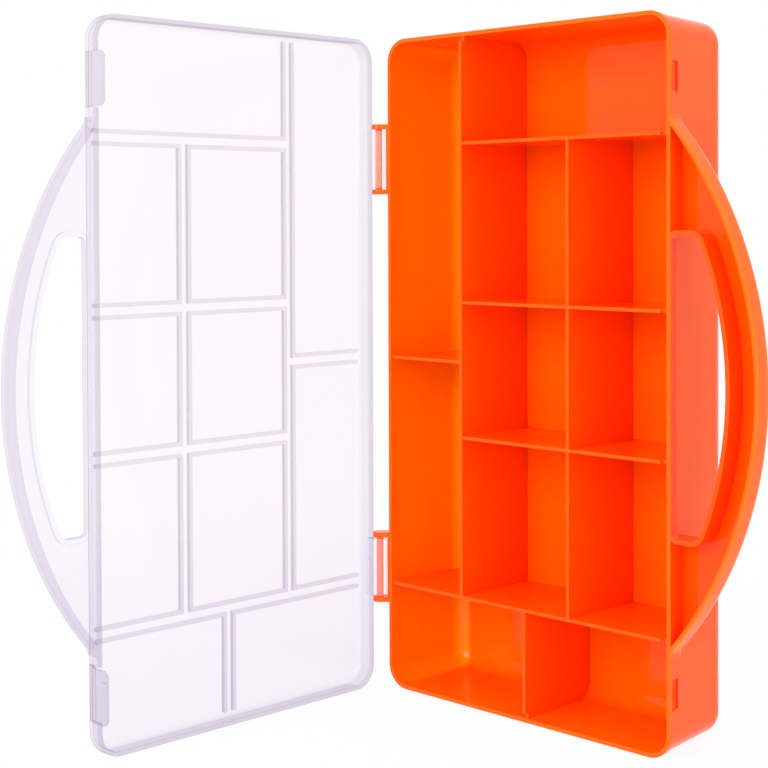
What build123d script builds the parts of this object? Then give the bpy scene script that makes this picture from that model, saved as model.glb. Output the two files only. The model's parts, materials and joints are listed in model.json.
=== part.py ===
from build123d import *
import math
import os

# A flat parts box with a carrying handle, stood on one short end and opened like a book.
# Sizes are in millimetres. The tray is drawn with its hinge wall at X = 0, its rim in the plane
# Y = 0 and its lower end wall at Z = 0; +X runs to the handle and +Y into the tray.
# The lid is drawn shut on the tray and is then swung open about the hinge pins.

# box and tray shell
box_length = 300.0
box_width = 156.0
tray_depth = 45.8
tray_wall = 1.8
tray_floor = 1.8
corner_radius = 10.5
base_radius = 8.7
base_corner_margin = 0.5
side_draft = 4.9
end_draft = 1.8
rim_band_depth = 3.7
rim_band_step = 0.4
rim_band_rounding = 0.3

# tray dividers: thickness, rise above the rim, gap and dip beside the outer walls, end rounding
divider_thickness = 1.4
divider_rise = 1.4
divider_wall_gap = 2.3
divider_dip = 0.8
divider_rounding = 1.0
# divider centres: heights from the lower end wall, distances from the hinge wall
end_row_height = 48.7
lower_cross_height = 119.9
upper_cross_height = 180.0
top_cross_height = 250.7
column_cross_height = 153.5
hinge_column_width = 46.2
middle_divider_offset = 105.7
end_row_split = 82.0

# handle, one half on the tray and one half on the lid
handle_latch_gap = 5.9
handle_reach = 39.8
handle_ring = 14.6
handle_blend = 6.0
slot_length = 120.6
slot_corner = 5.0
slot_inner_corner = 2.5
slot_lip = 0.4
handle_depth = 11.0
handle_plate = 1.5
handle_wall = 1.9
handle_edge_radius = 5.2

# lid
rim_gap = 0.2
lid_depth = 9.6
lid_wall = 1.6
lid_panel = 1.4
lid_edge_radius = 4.2
lid_inner_radius = 2.0
lid_handle_wall = 1.8
slot_bead_width = 2.2
slot_bead_height = 1.6
lid_handle_edge_radius = 3.0
lid_handle_root = 3.0

# lid ribs: a pair of ribs straddles the line of each divider
rib_width = 1.75
rib_height = 1.7
rib_pair_gap = 3.3
rib_end_gap = 2.0

# hinges: pins held between two ears on the tray, gripped by split clips on the lid
hinge_inset = 55.0
pin_offset = 5.0
pin_lift = 0.9
pin_radius = 1.6
ear_thickness = 2.3
ear_spacing = 27.9
ear_margin = 1.65
bracket_thickness = 1.2
bracket_depth = 8.0
clip_clearance = 0.08
clip_wall = 1.4
clip_end_play = 0.7
clip_mouth = 2.6
clip_root_back = 5.6
clip_root_front = 0.5
opening_angle = 90.0

# latches: flexing tabs in the lid wall that hook into slots in the tray wall
latch_inset = 26.6
latch_length = 22.0
latch_slit = 0.35
latch_clearance = 0.25
latch_reach = 6.9
latch_corner = 3.0
latch_bend_start = 4.6
latch_bend_end = 2.4
slot_near_rim = 1.3
slot_depth = 5.4
latch_slot_length = 12.4
catch_play = 0.4
catch_engagement = 0.9
catch_land = 0.9

# values that follow from the sizes above
middle_height = box_length / 2
handle_chord = box_length - 2 * (latch_inset + latch_length / 2 + handle_latch_gap)
handle_radius = (handle_chord ** 2 / 4 + handle_reach ** 2) / (2 * handle_reach)
handle_centre_x = box_width + handle_reach - handle_radius
pin_x = -pin_offset
pin_y = -pin_lift
clip_bore_radius = pin_radius + clip_clearance
clip_radius = clip_bore_radius + clip_wall
ear_radius = pin_radius + ear_margin
lid_rim_y = -rim_gap
lid_back_y = -rim_gap - lid_depth
lid_panel_y = lid_back_y + lid_panel
side_slope = math.tan(math.radians(side_draft))
end_slope = math.tan(math.radians(end_draft))
corner_growth = (base_radius + base_corner_margin + rim_band_step - corner_radius) / tray_depth
handle_root = max(handle_edge_radius, lid_handle_edge_radius) + rim_band_step + side_slope * handle_depth
bracket_root = tray_wall + rim_band_step + side_slope * bracket_depth
hinge_heights = {"lower": hinge_inset, "upper": box_length - hinge_inset}
latch_heights = {"lower": latch_inset, "upper": box_length - latch_inset}
past = 5.0


def face_plane(y):
    """Drawing plane facing the open side, with its axes along X and Z."""
    return Plane(origin=(0, y, 0), x_dir=(1, 0, 0), z_dir=(0, -1, 0))


def slab(sketch, y_low, y_high):
    """Extrude an X-Z outline from one depth to another."""
    return extrude(face_plane(y_high) * sketch, amount=y_high - y_low)


def along_z(sketch, z_low, length):
    """Extrude a cross-section upward from a height."""
    return Pos(0, 0, z_low) * extrude(sketch, amount=length, dir=(0, 0, 1))


def block(x_low, x_high, y_low, y_high, z_low, z_high):
    """Box between two corners."""
    size = Box(x_high - x_low, y_high - y_low, z_high - z_low)
    return Pos((x_low + x_high) / 2, (y_low + y_high) / 2, (z_low + z_high) / 2) * size


def box_outline(inset):
    """Rounded outline of the box in plan, inset from its outer face."""
    corner = max(corner_radius - inset, 0.5)
    outline = RectangleRounded(box_width - 2 * inset, box_length - 2 * inset, corner)
    return Pos(box_width / 2, middle_height) * outline


def round_back(solid, radius, wanted=Axis.Y, last=True):
    """Round the edges of the face that lies furthest along an axis."""
    faces = solid.faces().sort_by(wanted)
    face = faces[-1] if last else faces[0]
    return fillet(face.edges(), radius)


def tangent_point(centre_x, centre_y, radius, x, y, side):
    """Point where a line from (x, y) touches a circle, on the chosen side."""
    spread = side * math.acos(radius / math.hypot(x - centre_x, y - centre_y))
    angle = math.atan2(y - centre_y, x - centre_x) + spread
    return (centre_x + radius * math.cos(angle), centre_y + radius * math.sin(angle))


# tray shell

def leaning_section(inset, y):
    """Outline of the tray at a depth, inset from its outer face, on its own plane."""
    width = box_width - 2 * (inset + side_slope * y)
    length = box_length - 2 * (inset + end_slope * y)
    outline = RectangleRounded(width, length, corner_radius + corner_growth * y - inset)
    return face_plane(y) * Pos(box_width / 2, middle_height) * outline


def leaning_block(inset, y_low, y_high):
    """Block whose sides lean inward with depth and whose corners tighten."""
    return loft([leaning_section(inset, y_low), leaning_section(inset, y_high)], ruled=True)


def tray_outside():
    """Outer form of the tray: leaning sides, a rounded base edge and a slightly proud band at the rim."""
    body = round_back(leaning_block(rim_band_step, 0, tray_depth), base_radius)
    return body + round_back(leaning_block(0, 0, rim_band_depth), rim_band_rounding)


def tray_cavity():
    """Space inside the tray walls, from above the rim to the floor."""
    space = leaning_block(tray_wall, -past, tray_depth - tray_floor)
    return round_back(space, base_radius - tray_wall)


def tray_shell():
    """Outer walls and floor, with a latch slot near each end of the handle wall."""
    solid = tray_outside() - tray_cavity()
    for height in latch_heights.values():
        low = height - latch_slot_length / 2
        solid -= block(box_width - tray_wall - past, box_width + past,
                       slot_near_rim, slot_near_rim + slot_depth, low, low + latch_slot_length)
    return solid


# dividers

def divider_space():
    """Space that the dividers fill: the cavity, stepped up away from the outer walls."""
    low = tray_cavity() & block(-past, box_width + past, divider_dip, tray_depth + past,
                                -past, box_length + past)
    inset = tray_wall + divider_wall_gap
    high = slab(box_outline(inset), -divider_rise, divider_dip + divider_rounding)
    high = round_back(high, divider_rounding, last=False)
    return low + high


def divider_bounds():
    """Lowest and highest X and Z of each divider, end to end."""
    half = divider_thickness / 2
    across = hinge_column_width + half
    inner_end = middle_divider_offset - half
    outer_start = middle_divider_offset + half
    above_row = end_row_height + half
    bounds = {
        "hinge_side_divider": (hinge_column_width - half, across, above_row, box_length),
        "middle_divider": (inner_end, outer_start, above_row, top_cross_height - half),
        "end_row_divider": (end_row_split - half, end_row_split + half, 0, end_row_height - half),
        "full_cross_divider": (0, box_width, end_row_height - half, above_row),
        "column_cross_divider": (0, hinge_column_width - half,
                                 column_cross_height - half, column_cross_height + half),
        "top_cross_divider": (across, box_width, top_cross_height - half, top_cross_height + half),
    }
    for name, height in (("upper", upper_cross_height), ("lower", lower_cross_height)):
        bounds[name + "_inner_cross_divider"] = (across, inner_end, height - half, height + half)
        bounds[name + "_outer_cross_divider"] = (outer_start, box_width, height - half, height + half)
    return bounds


def dividers():
    """Every divider, cut to the tray's inside and to its neighbours."""
    space = divider_space()
    made = {}
    for name, (x_low, x_high, z_low, z_high) in divider_bounds().items():
        plate = block(x_low, x_high, -divider_rise - past, tray_depth, z_low, z_high)
        made[name] = space & plate
    return made


# handle

def handle_disc(inset):
    """Disc whose rim is the handle's arc, inset, with its seam on the far side."""
    return Pos(handle_centre_x, middle_height) * Rot(0, 0, 180) * Circle(handle_radius - inset)


def handle_side(height):
    """Strip from just inside the handle wall outward, centred on the handle."""
    return Pos(box_width + handle_reach, middle_height) * Rectangle(2 * (handle_reach + handle_root), height)


def handle_region(inset):
    """Plan area between the handle wall of the box and the handle's arc, inset from the arc."""
    return handle_disc(inset) & handle_side(2 * box_length)


def slot_region(margin):
    """Plan area of the finger slot, grown by a margin. A low lip stands between it and the box."""
    start = box_width + slot_lip - margin
    strip = Rectangle(2 * handle_reach, slot_length + 2 * margin)
    region = handle_disc(handle_ring - margin) & Pos(start + handle_reach, middle_height) * strip
    region = fillet(region.vertices().sort_by(Axis.X)[-2:], slot_corner + margin)
    return fillet(region.vertices().sort_by(Axis.X)[:2], slot_inner_corner + margin)


def slot_recess():
    """Plan area that bares the box wall beyond the lip of the finger slot."""
    width = handle_root + slot_lip + 2 * slot_inner_corner
    recess = Rectangle(width, slot_length)
    return Pos(box_width - handle_root + width / 2, middle_height) * recess


def handle_outline():
    """Outline of the whole handle, blended into the wall at both ends of its arc."""
    strip_width = 3 * handle_root
    strip = Rectangle(strip_width, handle_chord + 8 * handle_blend)
    region = handle_region(0) + Pos(box_width - strip_width / 2, middle_height) * strip
    corners = [point for point in region.vertices()
               if abs(point.X - box_width) < 0.01 and abs(point.Y - middle_height) < handle_chord / 2 + 0.5]
    meeting = math.asin(handle_chord / 2 / handle_radius)
    run = handle_blend * math.tan(meeting / 2)
    return fillet(corners, handle_blend) & handle_side(handle_chord + 1.7 * run)


def handle_block(y_low, y_high, back_y, radius):
    """Solid handle with its outer back edge rounded."""
    solid = slab(handle_outline(), y_low, y_high)
    rims = [edge for edge in solid.edges()
            if edge.geom_type == GeomType.CIRCLE and abs(edge.center().Y - back_y) < 0.01]
    return fillet(rims, radius)


def tray_handle():
    """Tray half of the handle: a channel open to the rim, with a wall round the finger slot."""
    solid = handle_block(0, handle_depth, handle_depth, handle_edge_radius)
    channel = handle_region(handle_wall) - slot_region(handle_wall)
    solid -= slab(channel, -past, handle_depth - handle_plate)
    solid -= slab(slot_region(0), -past, handle_depth + past)
    solid -= slab(slot_recess(), rim_band_depth, handle_depth + past)
    return solid - tray_outside()


def lid_handle():
    """Lid half of the handle: a plate level with the panel, a rim wall and a bead round the slot."""
    solid = handle_block(lid_back_y, lid_rim_y, lid_back_y, lid_handle_edge_radius)
    solid -= slab(handle_region(lid_handle_wall), lid_panel_y, past)
    solid += slab(slot_region(slot_bead_width), lid_panel_y - lid_panel / 2,
                  lid_panel_y + slot_bead_height)
    solid -= slab(slot_region(0), lid_back_y - past, past)
    solid -= block(box_width - handle_root - past, box_width - lid_handle_root,
                   lid_back_y - past, past, 0, box_length)
    return solid - lid_outside()


# hinges

def ear_outline():
    """Ear seen along the pin: a round end that runs into the tray wall."""
    top = tangent_point(pin_x, pin_y, ear_radius, 0, 0, -1)
    bottom = tangent_point(pin_x, pin_y, ear_radius, 0, bracket_depth, 1)
    web = Polygon((0, 0), (0, bracket_depth), bottom, (pin_x, pin_y), top, align=None)
    return web + Pos(pin_x, pin_y) * Circle(ear_radius)


def hinge_bracket(height):
    """Two ears on a backing plate, on the outside of the hinge wall."""
    half = ear_spacing / 2
    low = height - half - ear_thickness
    top = height + half + ear_thickness
    solid = block(-bracket_thickness, bracket_root, 0, bracket_depth, low, top)
    for start in (low, height + half):
        solid += along_z(ear_outline(), start, ear_thickness)
    return solid - tray_outside()


def hinge_pin(height):
    """Round pin that spans the gap between the two ears."""
    return Pos(pin_x, pin_y, height) * Cylinder(pin_radius, ear_spacing)


def hinge_clip(height):
    """Split sleeve round the pin, on a tapered arm from the lid's hinge wall."""
    length = ear_spacing - 2 * clip_end_play
    arm = Polygon((pin_x, pin_y - clip_radius), (0, -clip_root_back), (0, -clip_root_front),
                  (pin_x + pin_radius, -clip_root_front), (pin_x, pin_y), align=None)
    profile = arm + Pos(pin_x, pin_y) * Circle(clip_radius)
    profile -= Pos(pin_x, pin_y) * Circle(clip_bore_radius)
    profile -= Pos(pin_x - clip_radius, pin_y) * Rectangle(2 * clip_radius, clip_mouth)
    return along_z(profile, height - length / 2, length)


# lid

def lid_outside():
    """Outer form of the lid: straight sides and a rounded back edge."""
    return round_back(slab(box_outline(0), lid_back_y, lid_rim_y), lid_edge_radius, last=False)


def lid_cover():
    """Clear panel with a rim wall, cut away where the latch tabs stand."""
    solid = lid_outside()
    solid -= round_back(slab(box_outline(lid_wall), lid_panel_y, past), lid_inner_radius, last=False)
    for height in latch_heights.values():
        half = latch_length / 2 + latch_slit
        solid -= block(box_width - lid_wall, box_width + past, lid_back_y - past, past,
                       height - half, height + half)
    return solid


def latch_tab(height):
    """Tab that carries on the lid's rounded edge, bends out over the tray wall and ends in a catch."""
    root = box_width - lid_wall
    inner = box_width + latch_clearance
    profile = Polygon((root, lid_back_y), (root + lid_wall, lid_back_y),
                      (root + lid_wall, -latch_bend_start), (inner + lid_wall, -latch_bend_end),
                      (inner + lid_wall, latch_reach), (inner, latch_reach),
                      (inner, -latch_bend_end), (root, -latch_bend_start), align=None)
    middle = Pos(box_width - lid_edge_radius, lid_back_y + lid_edge_radius)
    side = 2 * lid_edge_radius
    corner = middle * Pos(lid_edge_radius, -lid_edge_radius) * Rectangle(side, side)
    profile -= corner - middle * Circle(lid_edge_radius)
    tab = along_z(profile, height - latch_length / 2, latch_length)
    side = 2 * (latch_reach - lid_back_y)
    trim = extrude(Plane.YZ * RectangleRounded(side, latch_length, latch_corner), amount=past, both=True)
    tab &= Pos(box_width, latch_reach - side / 2, height) * trim
    start = slot_near_rim + catch_play
    end = slot_near_rim + slot_depth - 2 * catch_play
    tip = box_width - catch_engagement
    catch = Polygon((inner, start), (tip, start), (tip, start + catch_land), (inner, end), align=None)
    length = latch_slot_length - 2 * catch_play
    return tab + along_z(catch, height - length / 2, length)


# lid ribs

def rib_frame(x_low, x_high, z_low, z_high):
    """Ribs of one compartment, along those of its sides that have a divider."""
    half = rib_pair_gap / 2
    margin = lid_wall + rib_end_gap
    left = margin if x_low is None else x_low + half
    right = box_width - margin if x_high is None else x_high - half
    bottom = margin if z_low is None else z_low + half
    top = box_length - margin if z_high is None else z_high - half
    bars = []
    if x_low is not None:
        bars.append((left, left + rib_width, bottom, top))
    if x_high is not None:
        bars.append((right - rib_width, right, bottom, top))
    if z_low is not None:
        bars.append((left, right, bottom, bottom + rib_width))
    if z_high is not None:
        bars.append((left, right, top - rib_width, top))
    solid = None
    for x_start, x_end, z_start, z_end in bars:
        bar = block(x_start, x_end, lid_panel_y, lid_panel_y + rib_height, z_start, z_end)
        solid = bar if solid is None else solid + bar
    return solid


def compartments():
    """The dividers on the four sides of each compartment, with None for an outer wall."""
    column = hinge_column_width
    middle = middle_divider_offset
    row = end_row_height
    cells = {
        "hinge_column_upper": (None, column, column_cross_height, None),
        "hinge_column_lower": (None, column, row, column_cross_height),
        "top_row": (column, None, top_cross_height, None),
        "end_row_inner": (None, end_row_split, None, row),
        "end_row_outer": (end_row_split, None, None, row),
    }
    heights = (row, lower_cross_height, upper_cross_height, top_cross_height)
    for index, place in enumerate(("lower", "middle", "upper")):
        low, high = heights[index], heights[index + 1]
        cells["inner_" + place] = (column, middle, low, high)
        cells["outer_" + place] = (middle, None, low, high)
    return cells


def swing(solid):
    """Swing a lid piece from shut to open about the hinge pins."""
    return Pos(pin_x, pin_y, 0) * Rot(0, 0, -opening_angle) * Pos(-pin_x, -pin_y, 0) * solid


def tray_pieces():
    """Every piece of the orange tray."""
    pieces = {"tray_shell": tray_shell(), "tray_handle": tray_handle()}
    pieces.update(dividers())
    for place, height in hinge_heights.items():
        pieces[place + "_hinge_bracket"] = hinge_bracket(height)
        pieces[place + "_hinge_pin"] = hinge_pin(height)
    return pieces


def lid_pieces():
    """Every piece of the clear lid, drawn shut."""
    pieces = {"lid_cover": lid_cover(), "lid_handle": lid_handle()}
    for name, sides in compartments().items():
        pieces[name + "_ribs"] = rib_frame(*sides)
    for place in hinge_heights:
        pieces[place + "_hinge_clip"] = hinge_clip(hinge_heights[place])
        pieces[place + "_latch_tab"] = latch_tab(latch_heights[place])
    return pieces


os.makedirs("parts", exist_ok=True)
pieces = tray_pieces()
pieces.update({name: swing(solid) for name, solid in lid_pieces().items()})
extent = Compound([part for solid in pieces.values() for part in solid.solids()]).bounding_box()
centre = Pos(-extent.center().X, -extent.center().Y, -extent.min.Z)
for name, solid in pieces.items():
    export_step(centre * solid, "parts/" + name + ".step")

# the joint axes in the finished frame
hinge_axis = centre * Pos(pin_x, pin_y, 0)
latch_axis = centre * Pos(pin_x, pin_y, 0) * Rot(0, 0, -opening_angle)
latch_axis = latch_axis * Pos(box_width - lid_wall - pin_x, lid_back_y - pin_y, 0)
print("extent", extent.size, "shift", centre.position)
print("hinge axis", hinge_axis.position, "latch axis", latch_axis.position)
print("handle radius", round(handle_radius, 2), "nodes", len(pieces))
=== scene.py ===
import json
import math

import bpy
from mathutils import Matrix, Vector

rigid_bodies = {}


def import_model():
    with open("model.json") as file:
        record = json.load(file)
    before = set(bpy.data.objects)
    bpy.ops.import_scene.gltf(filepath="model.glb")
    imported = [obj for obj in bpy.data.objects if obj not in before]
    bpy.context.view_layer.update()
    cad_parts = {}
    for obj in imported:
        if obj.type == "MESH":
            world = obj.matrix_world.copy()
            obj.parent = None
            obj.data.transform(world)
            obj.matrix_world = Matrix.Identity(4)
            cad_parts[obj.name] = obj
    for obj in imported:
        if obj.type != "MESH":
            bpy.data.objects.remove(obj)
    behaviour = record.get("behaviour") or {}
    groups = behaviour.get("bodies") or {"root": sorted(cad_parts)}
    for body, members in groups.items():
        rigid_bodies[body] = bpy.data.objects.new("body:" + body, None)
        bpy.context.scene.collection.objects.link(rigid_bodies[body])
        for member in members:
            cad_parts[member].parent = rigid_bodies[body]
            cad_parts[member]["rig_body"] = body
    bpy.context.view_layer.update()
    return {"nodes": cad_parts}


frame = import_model()
nodes = frame["nodes"]


# --- Orange tray ---
# One deep polypropylene moulding, pigmented opaque orange. The mould is polished, so the walls take
# soft, slightly wavy reflections. The dividers stand deep inside and are painted a redder orange than
# the shell, as painted shade, and the handle is painted darker in its channel.

def linear(hex_colour):
    """An sRGB hex colour as linear RGBA."""
    channels = [int(hex_colour[i:i + 2], 16) / 255 for i in (1, 3, 5)]
    return [c / 12.92 if c <= 0.04045 else ((c + 0.055) / 1.055) ** 2.4 for c in channels] + [1.0]


def add_node(tree, kind, settings, links):
    """Adds a node. Settings are its input values or options, links are sockets that feed its inputs."""
    made = tree.nodes.new(kind)
    for name, value in settings.items():
        if isinstance(name, int) or name in made.inputs:
            made.inputs[name].default_value = value
        else:
            setattr(made, name, value)
    for name, socket in links.items():
        tree.links.new(socket, made.inputs[name])
    return made


# Places on the tray, in metres. The handle's arc comes first, with its reach inside and at the outer face.
# Next are the handle wall, and the band within it that holds the far sides of the latch slots. The hinge
# column follows: its glow is full up to the one place and gone at its divider. The last are rim and base.
arc_centre = (-0.0575, 0.0, 0.150)
arc_inside, arc_outside = 0.1600, 0.1618
handle_wall = 0.0620
slot_side_middle, slot_side_reach = 0.0838, 0.0022
glow_full, glow_gone = -0.0580, -0.0440
rim_level, base_level = 0.078, 0.120

# How strongly daylight glows through the hinge wall at its rim and its base, and the floor's share of it.
rim_glow, base_glow, floor_share = 0.08, 1.1, 0.18

# Swirls in the pigment, patches in the polish, waves in the walls and handling marks, in millimetres.
swirl_mm, patch_mm, wave_mm, mark_mm = 60, 12, 40, 0.5

# The handle's channel and the dividers get a darker, redder orange than the shell: painted shade.
for finish, endings, pale, deep, outer in (
        ("orange_polypropylene_shell", ("_shell", "_bracket", "_pin"), "#FF5E00", "#FF5800", "#FF5E00"),
        ("orange_polypropylene_handle", ("_handle",), "#FF5000", "#FF4700", "#FF6A08"),
        ("orange_polypropylene_dividers", ("_divider",), "#FF5600", "#FF4F00", "#FF5600")):
    orange_pp = bpy.data.materials.new(finish)
    orange_pp.use_nodes = True
    tree = orange_pp.node_tree
    tree.nodes.clear()
    spot = add_node(tree, "ShaderNodeTexCoord", {}, {})
    place = spot.outputs["Object"]

    # Pigment is stirred in as the melt flows, and never mixes perfectly. Each finish's two oranges also hold
    # its painted shade.
    flow = add_node(tree, "ShaderNodeTexNoise", {"Scale": 1000 / swirl_mm, "Detail": 3.0, "Distortion": 0.6},
                    {"Vector": place})
    pigment_and_shade = add_node(tree, "ShaderNodeMix", {"data_type": "RGBA", 6: linear(pale), 7: linear(deep)},
                       {0: flow.outputs["Fac"]})

    # The handle's outer face is painted lighter than the channel inside it, as painted light.
    plan = add_node(tree, "ShaderNodeVectorMath", {"operation": "MULTIPLY", 1: (1.0, 0.0, 1.0)}, {0: place})
    reach = add_node(tree, "ShaderNodeVectorMath", {"operation": "DISTANCE", 1: arc_centre},
                     {0: plan.outputs["Vector"]})
    by_arc = add_node(tree, "ShaderNodeMapRange", {"From Min": arc_inside, "From Max": arc_outside},
                      {"Value": reach.outputs["Value"]})
    outer_face_lit = add_node(tree, "ShaderNodeMix", {"data_type": "RGBA", 7: linear(outer)},
                       {0: by_arc.outputs["Result"], 6: pigment_and_shade.outputs[2]})

    across = add_node(tree, "ShaderNodeSeparateXYZ", {}, {"Vector": place})
    facing = add_node(tree, "ShaderNodeSeparateXYZ", {}, {"Vector": spot.outputs["Normal"]})

    # The sides of the latch slots, cut through the wall near the rim, lie in deep shade.
    by_wall = add_node(tree, "ShaderNodeMath", {"operation": "GREATER_THAN", 1: handle_wall},
                       {0: across.outputs["X"]})
    by_slot = add_node(tree, "ShaderNodeMath",
                       {"operation": "COMPARE", 1: slot_side_middle, 2: slot_side_reach},
                       {0: across.outputs["Y"]})
    forward = add_node(tree, "ShaderNodeMath", {"operation": "LESS_THAN", 1: -0.5}, {0: facing.outputs["Y"]})
    in_slot = add_node(tree, "ShaderNodeMath", {"operation": "MULTIPLY"},
                       {0: by_wall.outputs[0], 1: by_slot.outputs[0]})
    slot_side = add_node(tree, "ShaderNodeMath", {"operation": "MULTIPLY"},
                         {0: in_slot.outputs[0], 1: forward.outputs[0]})
    shaded = add_node(tree, "ShaderNodeMix", {"data_type": "RGBA", 7: linear("#E02400")},
                      {0: slot_side.outputs[0], 6: outer_face_lit.outputs[2]})

    # Daylight shines through the hinge wall, so its inner face, and the floor beside it, are a lighter,
    # yellower orange.
    by_hinge = add_node(tree, "ShaderNodeMapRange",
                        {"From Min": glow_full, "From Max": glow_gone, "To Min": 1.0, "To Max": 0.0},
                        {"Value": across.outputs["X"]})
    deeper = add_node(tree, "ShaderNodeMapRange",
                      {"From Min": rim_level, "From Max": base_level,
                       "To Min": rim_glow, "To Max": base_glow},
                      {"Value": across.outputs["Y"]})
    by_place = add_node(tree, "ShaderNodeMath", {"operation": "MULTIPLY"},
                        {0: by_hinge.outputs["Result"], 1: deeper.outputs["Result"]})
    inward = add_node(tree, "ShaderNodeMapRange", {"From Min": 0.0, "From Max": 0.4},
                      {"Value": facing.outputs["X"]})
    inside = add_node(tree, "ShaderNodeMath",
                      {"operation": "MULTIPLY_ADD", "use_clamp": True, 1: -floor_share},
                      {0: facing.outputs["Y"], 2: inward.outputs["Result"]})
    lit = add_node(tree, "ShaderNodeMath", {"operation": "MULTIPLY", "use_clamp": True},
                   {0: by_place.outputs[0], 1: inside.outputs[0]})
    colour = add_node(tree, "ShaderNodeMix", {"data_type": "RGBA", 7: linear("#FF9600")},
                      {0: lit.outputs[0], 6: shaded.outputs[2]})

    # The polish is a little uneven, the walls wave as they shrink in the mould, and handling marks them.
    polish = add_node(tree, "ShaderNodeTexNoise", {"Scale": 1000 / patch_mm, "Detail": 4.0},
                      {"Vector": place})
    gloss = add_node(tree, "ShaderNodeMapRange", {"To Min": 0.07, "To Max": 0.13},
                     {"Value": polish.outputs["Fac"]})
    sink = add_node(tree, "ShaderNodeTexNoise", {"Scale": 1000 / wave_mm, "Detail": 1.0}, {"Vector": place})
    waves = add_node(tree, "ShaderNodeBump", {"Strength": 0.12, "Distance": 0.0010},
                     {"Height": sink.outputs["Fac"]})
    grain = add_node(tree, "ShaderNodeTexNoise", {"Scale": 1000 / mark_mm, "Detail": 2.0}, {"Vector": place})
    skin = add_node(tree, "ShaderNodeBump", {"Strength": 0.04, "Distance": 0.00002},
                    {"Height": grain.outputs["Fac"], "Normal": waves.outputs["Normal"]})
    plastic = add_node(tree, "ShaderNodeBsdfPrincipled",
                       {"IOR": 1.30, "Subsurface Weight": 0.25, "Subsurface Radius": (0.006, 0.0008, 0.0003),
                        "Subsurface Scale": 1.0},
                       {"Base Color": colour.outputs[2], "Roughness": gloss.outputs["Result"],
                        "Normal": skin.outputs["Normal"]})
    add_node(tree, "ShaderNodeOutputMaterial", {}, {"Surface": plastic.outputs["BSDF"]})

    for name, part in nodes.items():
        if part["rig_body"] == "tray" and name.endswith(endings):
            part.data.materials.clear()
            part.data.materials.append(orange_pp)


# --- Clear lid ---
# A shallow clear polypropylene moulding. It is water-clear face on, with a faint lilac grey cast that
# gathers in the rim, the bends, the ribs and the tabs, where light runs along the plastic.

# Places on the lid in metres: where the tone of its rim starts and is full, and the heights over which the
# floor greys the panel.
rim_start, rim_full = -0.0975, -0.0962
clear_height, grey_height = 0.10, 0.02

# How nearly edge on a face is seen where its outline starts to turn grey, and where it is fully grey.
outline_start, outline_full = 0.60, 0.95

# Waves in the plastic, in millimetres.
lid_wave_mm = 25

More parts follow.
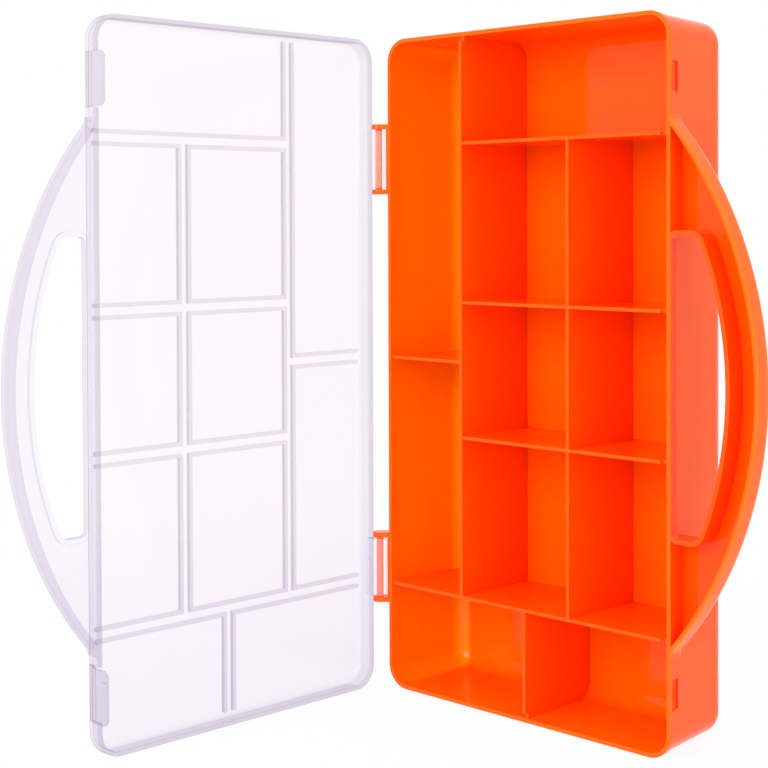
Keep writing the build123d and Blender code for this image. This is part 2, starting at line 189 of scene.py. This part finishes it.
# Each finish has its cast across the panel, along the side and end walls, round a bend, at the rim and
# seen edge on, and its share of milky haze.
for finish, ending, panel, side, end, bend, rim, edge_on, haze_share in (
        ("clear_polypropylene_cover", "lid_cover",
         "#FCF9FE", "#EEE9F1", "#E9E4ED", "#EFEAF2", "#DED7E2", "#CBC4D0", 0.06),
        ("clear_polypropylene_handle", "lid_handle",
         "#F9F5FD", "#E9E2ED", "#E6DFEA", "#E2DBE7", "#EBE5EE", "#D4CDD9", 0.05),
        ("clear_polypropylene_ribs", "_ribs",
         "#EFECF1", "#D8D5DD", "#F4F1F6", "#DCD8E1", "#E6E2E9", "#EAE6ED", 0.02),
        ("clear_polypropylene_tabs", "_latch_tab",
         "#CCC4D0", "#E8E0EB", "#D6CED9", "#DFD8E3", "#E3DBE6", "#D6CEDA", 0.06),
        ("clear_polypropylene_clips", "_hinge_clip",
         "#F8F4F7", "#FEFBFD", "#EEE9EF", "#FBF8FB", "#FEFBFD", "#B4ABB9", 0.18)):
    clear_pp = bpy.data.materials.new(finish)
    clear_pp.use_nodes = True
    tree = clear_pp.node_tree
    tree.nodes.clear()
    spot = add_node(tree, "ShaderNodeTexCoord", {}, {})
    place = spot.outputs["Object"]

    # The cast goes by the way each face looks. Halfway round an outer bend it is the bend's own.
    facing = add_node(tree, "ShaderNodeSeparateXYZ", {}, {"Vector": spot.outputs["Normal"]})
    flat = add_node(tree, "ShaderNodeMath", {"operation": "ABSOLUTE"}, {0: facing.outputs["X"]})
    upright = add_node(tree, "ShaderNodeMath", {"operation": "ABSOLUTE"}, {0: facing.outputs["Z"]})
    walls = add_node(tree, "ShaderNodeMix", {"data_type": "RGBA", 6: linear(side), 7: linear(end)},
                     {0: upright.outputs[0]})
    faces = add_node(tree, "ShaderNodeMix", {"data_type": "RGBA", 7: linear(panel)},
                     {0: flat.outputs[0], 6: walls.outputs[2]})
    square = add_node(tree, "ShaderNodeMath", {"operation": "MULTIPLY"},
                      {0: flat.outputs[0], 1: flat.outputs[0]})
    rest = add_node(tree, "ShaderNodeMath", {"operation": "SUBTRACT", 0: 1.0}, {1: square.outputs[0]})
    product = add_node(tree, "ShaderNodeMath", {"operation": "MULTIPLY"},
                       {0: square.outputs[0], 1: rest.outputs[0]})
    behind = add_node(tree, "ShaderNodeMath", {"operation": "LESS_THAN", 1: 0.0}, {0: facing.outputs["X"]})
    turned = add_node(tree, "ShaderNodeMath", {"operation": "MULTIPLY", 1: 4.0, "use_clamp": True},
                      {0: product.outputs[0]})
    outer_bend = add_node(tree, "ShaderNodeMath", {"operation": "MULTIPLY"},
                          {0: turned.outputs[0], 1: behind.outputs[0]})
    bent = add_node(tree, "ShaderNodeMix", {"data_type": "RGBA", 7: linear(bend)},
                    {0: outer_bend.outputs[0], 6: faces.outputs[2]})

    # The last millimetres towards the open rim get a tone of their own, painted for the way light runs along
    # the plastic there.
    depth = add_node(tree, "ShaderNodeSeparateXYZ", {}, {"Vector": place})
    by_rim = add_node(tree, "ShaderNodeMapRange", {"From Min": rim_start, "From Max": rim_full},
                      {"Value": depth.outputs["X"]})
    rimmed = add_node(tree, "ShaderNodeMix", {"data_type": "RGBA", 7: linear(rim)},
                      {0: by_rim.outputs["Result"], 6: bent.outputs[2]})

    # Seen nearly edge on, a curved face hides a long run of plastic, so its outline turns grey.
    glance = add_node(tree, "ShaderNodeLayerWeight", {"Blend": 0.5}, {})
    outline = add_node(tree, "ShaderNodeMapRange", {"From Min": outline_start, "From Max": outline_full},
                       {"Value": glance.outputs["Facing"]})
    edged = add_node(tree, "ShaderNodeMix", {"data_type": "RGBA", 7: linear(edge_on)},
                     {0: outline.outputs["Result"], 6: rimmed.outputs[2]})

    # Towards the end that it stands on, the panel is painted a shade greyer, as painted shade from the floor.
    by_floor = add_node(tree, "ShaderNodeMapRange", {"From Min": clear_height, "From Max": grey_height},
                        {"Value": depth.outputs["Z"]})
    tint = add_node(tree, "ShaderNodeMix",
                    {"data_type": "RGBA", "blend_type": "MULTIPLY", 7: linear("#F8F7FC")},
                    {0: by_floor.outputs["Result"], 6: edged.outputs[2]})
    cast = add_node(tree, "ShaderNodeBsdfTransparent", {}, {"Color": tint.outputs[2]})

    # A slight milky haze hangs in the plastic. Both faces are polished and wave a little.
    sink = add_node(tree, "ShaderNodeTexNoise", {"Scale": 1000 / lid_wave_mm, "Detail": 1.0},
                    {"Vector": place})
    waves = add_node(tree, "ShaderNodeBump", {"Strength": 0.15, "Distance": 0.0010},
                     {"Height": sink.outputs["Fac"]})
    haze = add_node(tree, "ShaderNodeBsdfPrincipled",
                    {"IOR": 1.25, "Base Color": linear("#FFFFFF"), "Roughness": 0.10},
                    {"Normal": waves.outputs["Normal"]})
    hazy = add_node(tree, "ShaderNodeMixShader", {0: haze_share},
                    {1: cast.outputs["BSDF"], 2: haze.outputs["BSDF"]})
    shine = add_node(tree, "ShaderNodeBsdfGlossy", {"Roughness": 0.06},
                     {"Color": tint.outputs[2], "Normal": waves.outputs["Normal"]})
    mirror = add_node(tree, "ShaderNodeFresnel", {"IOR": 1.25}, {"Normal": waves.outputs["Normal"]})
    entered = add_node(tree, "ShaderNodeMixShader", {},
                       {0: mirror.outputs["Fac"], 1: hazy.outputs["Shader"], 2: shine.outputs["BSDF"]})

    # Light is tinted as it enters the plastic and leaves it freely on the far side.
    hidden = add_node(tree, "ShaderNodeNewGeometry", {}, {})
    free = add_node(tree, "ShaderNodeBsdfTransparent", {"Color": linear("#FFFFFF")}, {})
    whole = add_node(tree, "ShaderNodeMixShader", {},
                     {0: hidden.outputs["Backfacing"], 1: entered.outputs["Shader"], 2: free.outputs["BSDF"]})
    add_node(tree, "ShaderNodeOutputMaterial", {}, {"Surface": whole.outputs["Shader"]})

    for name, part in nodes.items():
        if part["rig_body"] != "tray" and name.endswith(ending):
            part.data.materials.clear()
            part.data.materials.append(clear_pp)


# --- Floor ---
# A sweep of matt white studio paper, laid flat, that the box stands on. It keeps a soft shadow around the
# box, fades to plain white further out, and is matt where it sends light back to the box.

def background_share(tree):
    """A socket that is 1 where the backdrop is seen, also through the lid or reflected, and otherwise 0."""
    ray = add_node(tree, "ShaderNodeLightPath", {}, {})
    direct = add_node(tree, "ShaderNodeMath", {"operation": "ADD"},
                      {0: ray.outputs["Is Camera Ray"], 1: ray.outputs["Is Transmission Ray"]})
    seen = add_node(tree, "ShaderNodeMath", {"operation": "ADD", "use_clamp": True},
                    {0: direct.outputs[0], 1: ray.outputs["Is Glossy Ray"]})
    return seen.outputs[0]


# How far from the middle of the box the shadow starts to fade and is gone, in metres, and how white the
# floor is by itself within the shadow.
shadow_reach, all_white = 0.22, 0.50
shadow_white = 0.93
sweep = bpy.data.materials.new("white_studio_sweep")
sweep.use_nodes = True
tree = sweep.node_tree
tree.nodes.clear()
ground = add_node(tree, "ShaderNodeTexCoord", {}, {})
away = add_node(tree, "ShaderNodeVectorMath", {"operation": "LENGTH"}, {0: ground.outputs["Object"]})
glow = add_node(tree, "ShaderNodeMapRange",
                {"From Min": shadow_reach, "From Max": all_white, "To Min": shadow_white, "To Max": 1.0},
                {"Value": away.outputs["Value"]})
share = add_node(tree, "ShaderNodeMath", {"operation": "MULTIPLY"},
                 {0: background_share(tree), 1: glow.outputs["Result"]})
matt = add_node(tree, "ShaderNodeBsdfDiffuse", {"Color": linear("#F4F4F4")}, {})
white = add_node(tree, "ShaderNodeEmission", {"Color": linear("#FFFFFF"), "Strength": 1.0}, {})
surface = add_node(tree, "ShaderNodeMixShader", {},
                   {0: share.outputs[0], 1: matt.outputs["BSDF"], 2: white.outputs["Emission"]})
add_node(tree, "ShaderNodeOutputMaterial", {}, {"Surface": surface.outputs["Shader"]})

bpy.ops.mesh.primitive_plane_add(size=12.0, location=(0, 0, 0))
floor = bpy.context.object
floor.name = "floor"
floor.data.materials.append(sweep)


# --- Studio ---
# Matt white walls and ceiling all round, evenly lit. They are plain white where they are seen, and light
# the box at a lower level.

wall_light = 0.70
world = bpy.data.worlds.new("white_studio")
bpy.context.scene.world = world
world.use_nodes = True
tree = world.node_tree
tree.nodes.clear()
level = add_node(tree, "ShaderNodeMapRange", {"To Min": wall_light, "To Max": 1.0},
                 {"Value": background_share(tree)})
walls = add_node(tree, "ShaderNodeBackground", {"Color": linear("#FFFFFF")},
                 {"Strength": level.outputs["Result"]})
add_node(tree, "ShaderNodeOutputWorld", {}, {"Surface": walls.outputs["Background"]})


# --- Lamps ---
# Three square soft boxes with white cloth fronts. The strongest faces the tray's open side, a weak one
# faces the inside of the lid, and one hangs overhead.

box_middle = Vector((0, 0, 0.15))
for name, spot, width, power in (
        ("left_softbox", (-0.05, -1.65, 0.75), 1.0, 25.0),
        ("right_softbox", (1.6, -0.5, 0.75), 1.0, 6.0),
        ("top_softbox", (0.2, -0.3, 1.7), 1.2, 8.0)):
    lamp = bpy.data.lights.new(name, "AREA")
    lamp.shape = "SQUARE"
    lamp.size = width
    lamp.energy = power
    holder = bpy.data.objects.new(name, lamp)
    bpy.context.scene.collection.objects.link(holder)
    holder.location = spot
    holder.rotation_euler = (box_middle - Vector(spot)).to_track_quat("-Z", "Y").to_euler()


# --- Camera ---
# A nearly level camera above mid height, looking into the corner of the open box. The shift puts the box
# in the frame as in the photograph, with its upright lines kept upright.

camera_place = (0.4418, -0.46745, 0.2157)
camera_azimuth = math.radians(46.399)
camera_tilt = math.radians(-1.017)
camera_roll = -0.00414
camera = bpy.data.cameras.new("camera")
camera.sensor_width = 36.0
camera.lens = 76.88
camera.shift_x = 0.0719
camera.shift_y = -0.1721
camera.clip_start = 0.01
camera.clip_end = 50.0
viewer = bpy.data.objects.new("camera", camera)
bpy.context.scene.collection.objects.link(viewer)
turn = Matrix.Rotation(camera_azimuth, 4, "Z") @ Matrix.Rotation(math.radians(90) + camera_tilt, 4, "X")
turn = turn @ Matrix.Rotation(camera_roll, 4, "Z")
viewer.matrix_world = Matrix.Translation(camera_place) @ turn
bpy.context.scene.camera = viewer
bpy.context.scene.view_settings.view_transform = "Standard"
